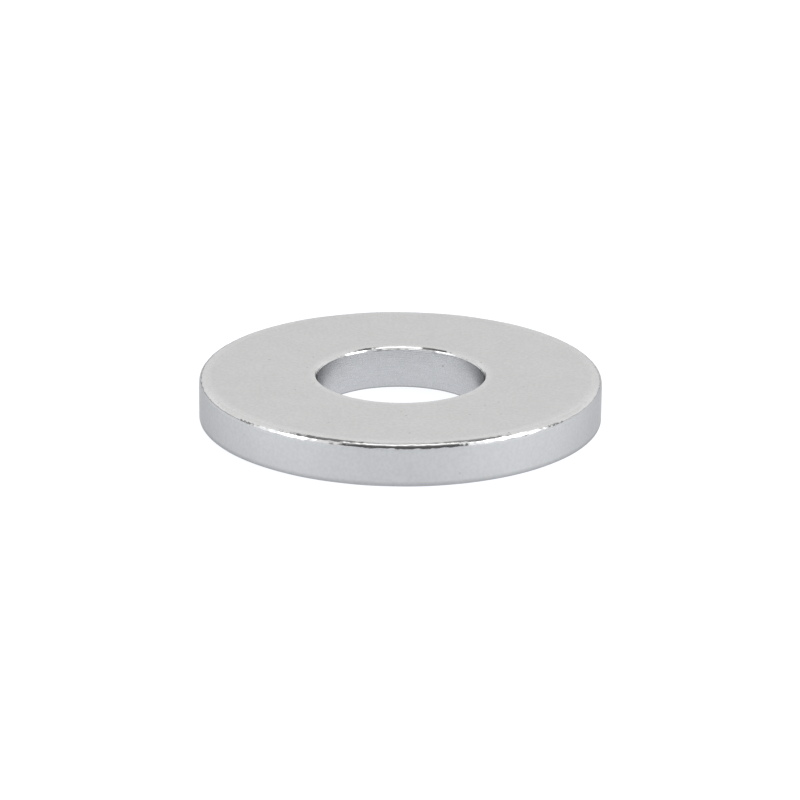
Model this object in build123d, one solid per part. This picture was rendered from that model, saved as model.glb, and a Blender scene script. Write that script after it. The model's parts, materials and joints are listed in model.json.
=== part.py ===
from build123d import *

import os

# A plain flat washer for M10 and 3/8 in bolts: one ring, punched from steel plate and tumbled smooth.
# Millimetres. The origin is on the bore's axis, at the middle of the underside. +Z is up.

OUTER_DIAMETER = 25.4
BORE_DIAMETER = 10.5
THICKNESS = 2.75

# Radius of each rounded edge. The face where the punch enters is drawn over at both edges, and
# tumbling only takes the burr off the edges of the other face.
OUTER_TOP_RADIUS = 0.35
OUTER_BOTTOM_RADIUS = 0.12
BORE_TOP_RADIUS = 0.25
BORE_BOTTOM_RADIUS = 0.08


def square_section():
    """The ring's cross-section with square corners: X is the distance from the axis, Y the height."""
    width = (OUTER_DIAMETER - BORE_DIAMETER) / 2
    middle = (OUTER_DIAMETER + BORE_DIAMETER) / 4
    return Pos(middle, THICKNESS / 2) * Rectangle(width, THICKNESS)


def round_corner(section, distance, height, radius):
    """The section with the corner at this distance from the axis and this height rounded."""
    corner = section.vertices().sort_by_distance((distance, height, 0))[0]
    return fillet(corner, radius)


def rounded_section():
    """The cross-section with all four corners rounded, each by its own radius."""
    section = square_section()
    section = round_corner(section, OUTER_DIAMETER / 2, THICKNESS, OUTER_TOP_RADIUS)
    section = round_corner(section, OUTER_DIAMETER / 2, 0, OUTER_BOTTOM_RADIUS)
    section = round_corner(section, BORE_DIAMETER / 2, THICKNESS, BORE_TOP_RADIUS)
    return round_corner(section, BORE_DIAMETER / 2, 0, BORE_BOTTOM_RADIUS)


def washer():
    """The cross-section stood upright on the XZ plane and turned once about the Z axis."""
    return revolve(Plane.XZ * rounded_section(), Axis.Z)


os.makedirs("parts", exist_ok=True)
export_step(washer(), "parts/washer.step")
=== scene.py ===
import json
import math

import bpy
import numpy as np
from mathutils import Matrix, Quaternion, Vector


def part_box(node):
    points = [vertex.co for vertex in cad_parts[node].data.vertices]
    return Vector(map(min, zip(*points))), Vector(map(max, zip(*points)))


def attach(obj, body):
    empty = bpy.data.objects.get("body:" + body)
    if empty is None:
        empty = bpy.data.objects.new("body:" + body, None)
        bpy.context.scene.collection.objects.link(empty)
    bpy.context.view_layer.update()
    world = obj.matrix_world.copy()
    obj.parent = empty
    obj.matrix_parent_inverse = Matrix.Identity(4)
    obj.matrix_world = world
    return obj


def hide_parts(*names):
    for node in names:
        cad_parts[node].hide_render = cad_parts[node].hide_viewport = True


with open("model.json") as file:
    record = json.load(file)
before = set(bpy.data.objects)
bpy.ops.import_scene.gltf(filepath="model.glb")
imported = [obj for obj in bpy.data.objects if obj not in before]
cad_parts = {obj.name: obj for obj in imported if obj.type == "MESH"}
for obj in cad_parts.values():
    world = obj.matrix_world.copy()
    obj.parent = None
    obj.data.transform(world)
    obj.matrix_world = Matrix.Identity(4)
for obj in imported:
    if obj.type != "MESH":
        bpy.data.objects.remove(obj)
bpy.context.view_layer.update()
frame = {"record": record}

MM = 0.001

# ---------------------------------------------------------------- sizes

low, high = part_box("washer")
mounts = {mount["name"]: mount for mount in frame["record"]["mounts"]}

OUTER_RADIUS = (high.x - low.x) / 2
BORE_RADIUS = mounts["bolt_hole"]["dims"]["r_mm"] * MM
THICKNESS = high.z - low.z

# Radius of each rounded edge, as in the CAD model.
OUTER_TOP = 0.35 * MM
OUTER_BOTTOM = 0.12 * MM
BORE_BOTTOM = 0.08 * MM

# The foot of the outer wall is darkened with painted shade, less and less up to this height.
FOOT = 0.34 * MM

# The outer top edge starts to curve this far down the wall, along the cross-section, and is
# burnished from this angle on.
ROLL_EASE = 0.42 * MM
BURNISH_ANGLE = math.radians(12)

# The bore's upper edge is a bevel with a step in it: how far out from the bore's wall and how far
# below the face each corner is, and how far from it the softening of a corner reaches.
RIM = ((0.215, 0.0), (0.155, 0.0), (0.05, 0.11), (0.038, 0.137), (0.0, 0.187), (0.0, 0.25))
RIM_SOFT = 0.008 * MM

# Points round the outer part of the ring, how many times fewer there are round the bore, and the
# width of the faces that join the two.
OUTER_POINTS = 1260
THINNING = 3
SEAM = 0.2 * MM

TOOL_LINE_PITCH = 0.15 * MM
TOOL_LINE_DEPTH = 0.002 * MM

EDGE_WAVE = 0.0026 * MM
EDGE_WAVE_REACH = 0.04 * MM
FACE_WAVE = 0.002 * MM
POLISH_REACH = 0.08 * MM

PIT_SPACING = 1.2 * MM
PIT_RADIUS = 0.09 * MM
PIT_CORE = 0.02 * MM
PIT_SHARE = 0.7

random = np.random.default_rng(26)


# ---------------------------------------------------------------- the cross-section


def straight(start, end, steps):
    """Points from start up to but not including end."""
    along = np.linspace(0, 1, steps, endpoint=False)
    return np.outer(1 - along, start) + np.outer(along, end)


def corner(centre, radius, start_angle, steps):
    """A quarter turn anticlockwise about centre from start_angle in degrees, without its last point."""
    angles = np.radians(start_angle + np.linspace(0, 90, steps, endpoint=False))
    return np.column_stack((centre[0] + radius * np.cos(angles), centre[1] + radius * np.sin(angles)))


def roll(out, top, steps):
    """The outer top edge, which starts to curve gently: steps + 1 points from the wall up to the face,
    and which of them are burnished."""
    fineness = 50
    eased = ROLL_EASE / (3 * OUTER_TOP)
    length = ROLL_EASE + (math.pi / 2 - eased) * OUTER_TOP
    along = np.linspace(0, length, fineness * steps + 1)
    gentle = along**3 / (3 * ROLL_EASE**2 * OUTER_TOP)
    angle = np.where(along < ROLL_EASE, gentle, eased + (along - ROLL_EASE) / OUTER_TOP)
    step = length / (fineness * steps)
    inward = np.cumsum(np.sin(angle)) * step
    upward = np.cumsum(np.cos(angle)) * step
    points = np.column_stack((out - inward, top - upward[-1] + upward))
    return points[::fineness], (angle > BURNISH_ANGLE)[::fineness]


def rim(bore, top):
    """The bore's upper edge, from the face down to the wall, without the last point."""
    corners = np.array([(bore + out * MM, top - depth * MM) for out, depth in RIM])
    points = [corners[:1]]
    for before, here, after in zip(corners, corners[1:], corners[2:]):
        start = here + (before - here) / np.linalg.norm(before - here) * RIM_SOFT
        end = here + (after - here) / np.linalg.norm(after - here) * RIM_SOFT
        last = points[-1][-1]
        flat = (0.8 * last + 0.2 * start, 0.2 * last + 0.8 * start)
        points.append(np.vstack((*flat, start, (start + 2 * here + end) / 4, end)))
    return np.vstack(points)


def build_profile():
    """The ring's cross-section as closed rows of (distance from axis, height), and for each row its
    polish, tool-line and painted-shade weights and whether it has the full number of points round it."""
    out, bore, top = OUTER_RADIUS, BORE_RADIUS, THICKNESS
    middle = (out + bore) / 2
    inner = middle - SEAM
    rolled, burnished = roll(out, top, 17)
    rim_start = bore + RIM[0][0] * MM
    rim_end = top - RIM[-1][1] * MM
    pieces = [
        # points, polish, tool lines, painted shade, full count
        (straight((middle, 0), (out - OUTER_BOTTOM, 0), 5), 0, 0, 0, 1),
        # painted shade on the outer bottom edge, fading up the foot of the wall
        (corner((out - OUTER_BOTTOM, OUTER_BOTTOM), OUTER_BOTTOM, 270, 7), 0, 0, 0.8, 1),
        (straight((out, OUTER_BOTTOM), (out, FOOT), 4), 0, 0, (0.8, 0.6, 0.4, 0.2), 1),
        (straight((out, FOOT), rolled[0], 4), 0, 0, 0, 1),
        (rolled[:-1], burnished[:-1], 0, 0, 1),
        (straight(rolled[-1], (middle, top), 7), 0, 0, 0, 1),
        (straight((inner, top), (rim_start, top), 8), 0, 0, 0, 0),
        (rim(bore, top), 1, 0, 0, 0),
        (straight((bore, rim_end), (bore, BORE_BOTTOM), 64), 0, 1, 0, 0),
        # painted shade on the bore's bottom edge
        (corner((bore + BORE_BOTTOM, BORE_BOTTOM), BORE_BOTTOM, 180, 4), 0, 0, 1, 0),
        (straight((bore + BORE_BOTTOM, 0), (inner, 0), 6), 0, 0, 0, 0),
    ]
    rows = np.vstack([points for points, *_ in pieces])
    marks = []
    for points, *given in pieces:
        marks.append(np.column_stack([np.broadcast_to(mark, len(points)) for mark in given]))
    return rows, np.vstack(marks)


def row_normals(rows):
    """The cross-section's outward normal at each row."""
    along = np.roll(rows, -1, 0) - np.roll(rows, 1, 0)
    normals = np.column_stack((along[:, 1], -along[:, 0]))
    return normals / np.linalg.norm(normals, axis=1)[:, None]


def edge_distance(rows, polished):
    """Distance of each row from the nearest polished one, measured along the cross-section."""
    place = np.cumsum(np.linalg.norm(rows - np.roll(rows, 1, 0), axis=1))
    gap = np.abs(place[:, None] - place[polished][None, :])
    return np.minimum(gap, place[-1] - gap).min(1)


# ---------------------------------------------------------------- the ring's mesh


def ripples(points, wavelength, waves=48):
    """Smooth random heights of unit size at these points, of about this wavelength."""
    directions = random.normal(size=(waves, 3))
    directions /= np.linalg.norm(directions, axis=1)[:, None]
    numbers = 2 * math.pi / wavelength * random.uniform(0.7, 1.4, waves)
    phases = random.uniform(0, 2 * math.pi, waves)
    return np.cos(points @ (directions * numbers[:, None]).T + phases).sum(1) / math.sqrt(waves / 2)


def spin(pairs, counts):
    """Each row's (distance from axis, height) turned round the axis into its own number of points."""
    turned = []
    for (distance, height), count in zip(pairs, counts):
        angle = np.arange(count) * 2 * math.pi / count
        level = np.full(count, height)
        turned.append(np.column_stack((distance * np.cos(angle), distance * np.sin(angle), level)))
    return np.vstack(turned)


def surface_lift(points, edges, bores):
    """How far each point stands out from the plain ring: the face's waves, the edges' own shorter
    ones, and the bore's tool lines, which drift and fade."""
    lift = FACE_WAVE * ripples(points, 3.0 * MM)
    lift += EDGE_WAVE * edges * ripples(points, 0.7 * MM)
    lift += 0.75 * EDGE_WAVE * edges * ripples(points, 0.3 * MM)
    drift = 1.5 * ripples(points, 3.0 * MM)
    depth = TOOL_LINE_DEPTH * (0.5 + 0.5 * ripples(points, 0.8 * MM))
    return lift + depth * bores * np.cos(2 * math.pi * points[:, 2] / TOOL_LINE_PITCH + drift)


def spread_faces(many, few, start, other):
    """Faces between a row of many points, from start on, and the one after it of fewer."""
    faces = []
    for i in range(few):
        j = (i + 1) % few
        f = [start + (THINNING * i + k) % many for k in range(THINNING + 1)]
        faces.append((f[0], f[1], other + i))
        faces.append((f[1], f[2], other + j, other + i))
        faces.append((f[2], f[3], other + j))
    return faces


def ring_faces(starts, counts):
    """Faces between each row of points and the next, and from the last row back to the first."""
    faces = []
    for row, (start, count) in enumerate(zip(starts, counts)):
        after = (row + 1) % len(starts)
        other, other_count = starts[after], counts[after]
        if count == other_count:
            for i in range(count):
                j = (i + 1) % count
                faces.append((start + i, start + j, other + j, other + i))
        elif count > other_count:
            faces += spread_faces(count, other_count, start, other)
        else:
            faces += [face[::-1] for face in spread_faces(other_count, count, other, start)]
    return faces


def add_attribute(mesh, name, values):
    attribute = mesh.attributes.new(name, "FLOAT", "POINT")
    attribute.data.foreach_set("value", values.astype(np.float32))


def link(name, data):
    """A new object with this data, in the scene."""
    made = bpy.data.objects.new(name, data)
    bpy.context.scene.collection.objects.link(made)
    return made


def build_ring():
    """The washer's visible mesh, with its polish and the painted shade of its bottom edges as
    attributes.
    """
    rows, marks = build_profile()
    polished, bores, painted_bottom_shade, full = marks.T
    gap = edge_distance(rows, polished == 1)
    counts = np.where(full == 1, OUTER_POINTS, OUTER_POINTS // THINNING)
    starts = np.concatenate(([0], np.cumsum(counts)[:-1]))

    points = spin(rows, counts)
    outward = spin(row_normals(rows), counts)
    waves = np.repeat(np.exp(-((gap / EDGE_WAVE_REACH) ** 2)), counts)
    points += outward * surface_lift(points, waves, np.repeat(bores, counts))[:, None]
    edges = np.repeat(np.exp(-((gap / POLISH_REACH) ** 2)), counts)
    ragged = 0.12 * ripples(points, 0.5 * MM)
    polish = np.clip((edges - 0.4) * 3 + ragged, 0, 1)

    mesh = bpy.data.meshes.new("washer_ring")
    mesh.from_pydata(points.tolist(), [], ring_faces(starts.tolist(), counts.tolist()))
    mesh.shade_smooth()
    add_attribute(mesh, "polish", polish)
    # Painted shade that darkens the bottom edges, kept as a point attribute for the material.
    add_attribute(mesh, "painted_bottom_shade", np.repeat(painted_bottom_shade, counts))
    mesh.validate()
    return link("washer_ring", mesh)


# ---------------------------------------------------------------- material


def grey(level, red=1.0, blue=1.0):
    """A colour with this much green, and red and blue as parts of it."""
    return (level * red, level, level * blue, 1)


FACE_DULL = (0.522, 0.523, 0.52, 1)
FACE_BRIGHT = (0.536, 0.537, 0.534, 1)
BORE_DULL = (0.502, 0.504, 0.507, 1)
BORE_BRIGHT = (0.536, 0.538, 0.541, 1)
GRAIN_COLOUR = grey(0.3)
# Painted shade: the colour the bottom edges darken towards, standing in for contact shadow.
PAINTED_SHADE_COLOUR = grey(0.2)
PIT_COLOUR = (0.2, 0.2, 0.19, 1)
GLANCING_TINT = grey(0.635)

CLOUD_SIZE = 2.5 * MM
GRAIN_SIZE = 0.2 * MM
STREAK_SIZE = 0.1 * MM
STREAK_SHRINK = 0.12

BURNISHED_ROUGHNESS = 0.1
BUMP_DEPTH = 0.004 * MM


class Graph:
    """Short names for adding and joining shader nodes."""

    def __init__(self, tree):
        self.tree = tree
        tree.nodes.clear()

    def node(self, kind, **settings):
        made = self.tree.nodes.new("ShaderNode" + kind)
        for name, value in settings.items():
            setattr(made, name, value)
        return made

    def put(self, socket, value):
        if isinstance(value, bpy.types.NodeSocket):
            self.tree.links.new(value, socket)
        else:
            socket.default_value = value

    def math(self, operation, *values):
        made = self.node("Math", operation=operation)
        for socket, value in zip(made.inputs, values):
            self.put(socket, value)
        return made.outputs[0]

    def vector(self, operation, *values):
        made = self.node("VectorMath", operation=operation)
        for socket, value in zip(made.inputs, values):
            self.put(socket, value)
        return made.outputs["Value" if operation == "LENGTH" else "Vector"]

    def ramp(self, value, start, end, low=0.0, high=1.0):
        """low up to start, high from end on, and smooth between."""
        made = self.node("MapRange", interpolation_type="SMOOTHSTEP")
        names = ("Value", "From Min", "From Max", "To Min", "To Max")
        for name, number in zip(names, (value, start, end, low, high)):
            self.put(made.inputs[name], number)
        return made.outputs["Result"]

    def mix(self, factor, first, second):
        made = self.node("Mix", data_type="RGBA")
        self.put(made.inputs[0], factor)
        self.put(made.inputs[6], first)
        self.put(made.inputs[7], second)
        return made.outputs[2]

    def blend(self, factor, first, second):
        """Like mix, for numbers."""
        made = self.node("Mix", data_type="FLOAT")
        self.put(made.inputs[0], factor)
        self.put(made.inputs[2], first)
        self.put(made.inputs[3], second)
        return made.outputs[0]

    def noise(self, vector, size, detail=2.0, roughness=0.5):
        """Noise of about this feature size."""
        made = self.node("TexNoise")
        self.put(made.inputs["Vector"], vector)
        self.put(made.inputs["Scale"], 1 / size)
        self.put(made.inputs["Detail"], detail)
        self.put(made.inputs["Roughness"], roughness)
        return made.outputs[0]


def bore_wall(g, place):
    """1 on the bore's wall and 0 everywhere else."""
    radius = g.vector("LENGTH", g.vector("MULTIPLY", place, (1, 1, 0)))
    return g.ramp(radius, BORE_RADIUS + 0.02 * MM, BORE_RADIUS + 0.06 * MM, 1.0, 0.0)


def streaks(g, place):
    """Fine broken lines round the axis, from 0 to 1: noise that is drawn out level."""
    drawn_out = g.vector("MULTIPLY", place, (STREAK_SHRINK, STREAK_SHRINK, 1))
    return g.ramp(g.noise(drawn_out, STREAK_SIZE, 3.0, 0.6), 0.3, 0.7)


def pits(g, place):
    """Sparse pin-prick pits in the plating, from 0 to 1."""
    cells = g.node("TexVoronoi")
    g.put(cells.inputs["Vector"], place)
    g.put(cells.inputs["Scale"], 1 / PIT_SPACING)
    distance = cells.outputs["Distance"]
    size = g.ramp(distance, PIT_CORE / PIT_SPACING, PIT_RADIUS / PIT_SPACING, 1.0, 0.0)
    kept = g.node("SeparateXYZ")
    g.put(kept.inputs[0], cells.outputs["Color"])
    return g.math("MULTIPLY", size, g.math("LESS_THAN", kept.outputs[0], PIT_SHARE))


def steel_colour(g, place, grain, bore, painted_bottom_shade):
    """Faint clouds and grain, broken lines in the bore, painted shade along the bottom edges, and pits.
    """
    cloud = g.ramp(g.noise(place, CLOUD_SIZE), 0.3, 0.7)
    colour = g.mix(cloud, FACE_DULL, FACE_BRIGHT)
    colour = g.mix(g.ramp(grain, 0.3, 0.7, 0.0, 0.12), colour, GRAIN_COLOUR)
    colour = g.mix(bore, colour, g.mix(streaks(g, place), BORE_DULL, BORE_BRIGHT))
    # Painted shade along the bottom edges, standing in for contact shadow.
    colour = g.mix(g.math("MULTIPLY", painted_bottom_shade, 0.5), colour, PAINTED_SHADE_COLOUR)
    return g.mix(g.math("MULTIPLY", pits(g, place), 0.7), colour, PIT_COLOUR)


def plated_steel():
    """Satin zinc plate, with burnished edges and a smoother bore."""
    material = bpy.data.materials.new("plated_steel")
    material.use_nodes = True
    g = Graph(material.node_tree)
    shader = g.node("BsdfPrincipled")
    output = g.node("OutputMaterial")
    g.tree.links.new(shader.outputs[0], output.inputs[0])
    shader.inputs["Metallic"].default_value = 1.0
    shader.inputs["Specular Tint"].default_value = GLANCING_TINT

    place = g.node("TexCoord").outputs["Object"]
    polish = g.node("Attribute", attribute_name="polish").outputs["Fac"]
    # The weight of the painted shade at the bottom edges.
    painted_bottom_shade = g.node("Attribute", attribute_name="painted_bottom_shade").outputs["Fac"]
    grain = g.noise(place, GRAIN_SIZE)
    bore = bore_wall(g, place)
    g.put(shader.inputs["Base Color"], steel_colour(g, place, grain, bore, painted_bottom_shade))

    satin = g.math("SUBTRACT", g.ramp(grain, 0.3, 0.7, 0.36, 0.42), g.math("MULTIPLY", bore, 0.1))
    g.put(shader.inputs["Roughness"], g.blend(polish, satin, BURNISHED_ROUGHNESS))

    bump = g.node("Bump")
    bump.inputs["Distance"].default_value = BUMP_DEPTH
    strength = g.math("SUBTRACT", g.ramp(polish, 0, 1, 0.6, 0.3), g.math("MULTIPLY", bore, 0.25))
    g.put(bump.inputs["Strength"], strength)
    g.put(bump.inputs["Height"], grain)
    g.put(shader.inputs["Normal"], bump.outputs[0])
    return material


# ---------------------------------------------------------------- studio


def card(g, below, colour, *spans):
    """below with a soft-edged rectangle of colour laid over it. Each span is a value and the four
    places where the card begins, is solid, stops being solid and ends."""
    cover = 1.0
    for value, (begin, solid, last, end) in spans:
        rise = g.ramp(value, begin, solid)
        fall = g.ramp(value, last, end, 1.0, 0.0)
        cover = g.math("MULTIPLY", cover, g.math("MULTIPLY", rise, fall))
    return g.mix(cover, below, colour)


def studio_light(g):
    """The room's light in each direction. azimuth is 0 towards the camera and grows to the right,
    aside is its size, elevation is up from the horizon, and over is the angle up from the camera's
    horizon, over the top and down to the back."""
    split = g.node("SeparateXYZ")
    g.put(split.inputs[0], g.node("TexCoord").outputs["Generated"])
    x, y, z = split.outputs
    near = g.math("MULTIPLY", y, -1.0)
    azimuth = g.math("DEGREES", g.math("ARCTAN2", x, near))
    elevation = g.math("DEGREES", g.math("ARCSINE", z))
    aside = g.math("ABSOLUTE", azimuth)
    over = g.math("DEGREES", g.math("ARCTAN2", z, near))
    across = g.math("ABSOLUTE", x)

    def soft(level):
        """Softbox light, a little cool."""
        return grey(level, 0.99, 1.02)

    low_span = (-90, -60, 2, 10)
    side_span = (-20, -10, 16, 22)
    cards = [
        # the floor's edge and walls behind, duller at the left, and the wall opposite the camera
        (grey(0.8), (aside, (86, 94, 190, 200)), (elevation, low_span)),
        (grey(0.55), (azimuth, (-200, -190, -94, -84)), (elevation, low_span)),
        (grey(1.44), (aside, (108, 120, 190, 200)), (elevation, (4, 11, 26, 33))),
        (grey(1.26), (across, (-2, -1, 0.8, 0.95)), (over, (104, 114, 142, 150))),
        # the dull ceiling at the left and right, a dark strip at both sides, and a panel overhead
        (grey(0.36), (azimuth, (-165, -150, -62, -50)), (elevation, (56, 62, 91, 92))),
        (grey(0.52), (azimuth, (50, 62, 150, 165)), (elevation, (58, 64, 91, 92))),
        (grey(0.25), (aside, (46, 54, 86, 92)), (elevation, (44, 49, 60, 66))),
        (grey(1.0), (across, (-2, -1, 0.06, 0.26)), (over, (72, 78, 104, 116))),
        # the gap at the camera, dark below and grey above, and the softbox over it
        (grey(0.5), (aside, (-20, -10, 36, 44)), (elevation, (31, 39, 50, 56))),
        (grey(0.16), (azimuth, (-39, -33, 35, 41)), (elevation, (-90, -60, 32, 38))),
        (grey(2.4), (x, (-0.4, -0.27, 0.34, 0.46)), (over, (52, 56, 70, 76))),
        # the softboxes at the right and left: their glow on the walls, their faces and their lamps
        (soft(1.7), (azimuth, (35, 41, 84, 90)), (elevation, side_span)),
        (soft(1.6), (azimuth, (-89, -82, -52, -40)), (elevation, side_span)),
        (soft(1.9), (azimuth, (35, 45, 84, 90)), (elevation, (10, 26, 43, 48))),
        (soft(1.9), (azimuth, (-89, -83, -60, -44)), (elevation, (10, 26, 35, 41))),
        (soft(6.5), (azimuth, (48, 60, 80, 88)), (elevation, (-12, 30, 43, 48))),
        (soft(5.5), (azimuth, (-78, -70, -60, -49)), (elevation, (-10, 28, 35, 41))),
        # a dark post beside each softbox
        (grey(0.3), (aside, (92, 95, 98, 101)), (elevation, (-20, -10, 25, 32))),
    ]
    light = grey(1.32)
    for colour, *spans in cards:
        light = card(g, light, colour, *spans)
    return light


def build_studio():
    """The room's light, behind a background that the camera itself sees as plain white."""
    world = bpy.data.worlds.new("studio")
    world.use_nodes = True
    bpy.context.scene.world = world
    g = Graph(world.node_tree)
    lamp = g.node("Background")
    g.put(lamp.inputs[0], studio_light(g))
    plain = g.node("Background")
    g.put(plain.inputs[0], grey(1.0))
    seen = g.node("MixShader")
    g.put(seen.inputs[0], g.node("LightPath").outputs["Is Camera Ray"])
    g.tree.links.new(lamp.outputs[0], seen.inputs[1])
    g.tree.links.new(plain.outputs[0], seen.inputs[2])
    g.tree.links.new(seen.outputs[0], g.node("OutputWorld").inputs[0])


FLOOR_SIDE = 4.0
FLOOR_COLOUR = (0.22, 0.225, 0.235, 1)
FLOOR_GLOW = (0.98, 1.0, 1.045, 1)
FLOOR_GLOW_STRENGTH = 0.83


def build_floor():
    """A pale sheet lit softly from below, so that the washer hardly casts a shadow on it."""
    mesh = bpy.data.meshes.new("floor")
    corners = [(x * FLOOR_SIDE, y * FLOOR_SIDE, 0) for x, y in ((-1, -1), (1, -1), (1, 1), (-1, 1))]
    mesh.from_pydata(corners, [], [(0, 1, 2, 3)])
    material = bpy.data.materials.new("pale_floor")
    material.use_nodes = True
    shader = material.node_tree.nodes["Principled BSDF"]
    shader.inputs["Base Color"].default_value = FLOOR_COLOUR
    shader.inputs["Emission Color"].default_value = FLOOR_GLOW
    shader.inputs["Emission Strength"].default_value = FLOOR_GLOW_STRENGTH
    shader.inputs["Roughness"].default_value = 1.0
    shader.inputs["Specular IOR Level"].default_value = 0.0
    mesh.materials.append(material)
    link("floor", mesh)


# ---------------------------------------------------------------- camera

CAMERA_DISTANCE = 227.3 * MM
CAMERA_ELEVATION = math.radians(19.72)
CAMERA_ROLL = math.radians(0.47)
CAMERA_LENS = 161.8
AIM = Vector((-0.022 * MM, 0, THICKNESS / 2 - 0.38 * MM))


def build_camera():
    data = bpy.data.cameras.new("camera")
    data.lens = CAMERA_LENS
    data.sensor_width = 36.0
    data.clip_start = 10 * MM
    data.clip_end = 10
    camera = link("camera", data)
    back = Vector((0, -math.cos(CAMERA_ELEVATION), math.sin(CAMERA_ELEVATION)))
    camera.location = AIM + back * CAMERA_DISTANCE
    camera.rotation_mode = "QUATERNION"
    camera.rotation_quaternion = (-back).to_track_quat("-Z", "Y") @ Quaternion((0, 0, 1), CAMERA_ROLL)
    bpy.context.scene.camera = camera


build_camera()
build_studio()
build_floor()

ring = build_ring()
ring.data.materials.append(plated_steel())
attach(ring, "root")
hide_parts("washer")

bpy.context.scene.view_settings.view_transform = "Standard"
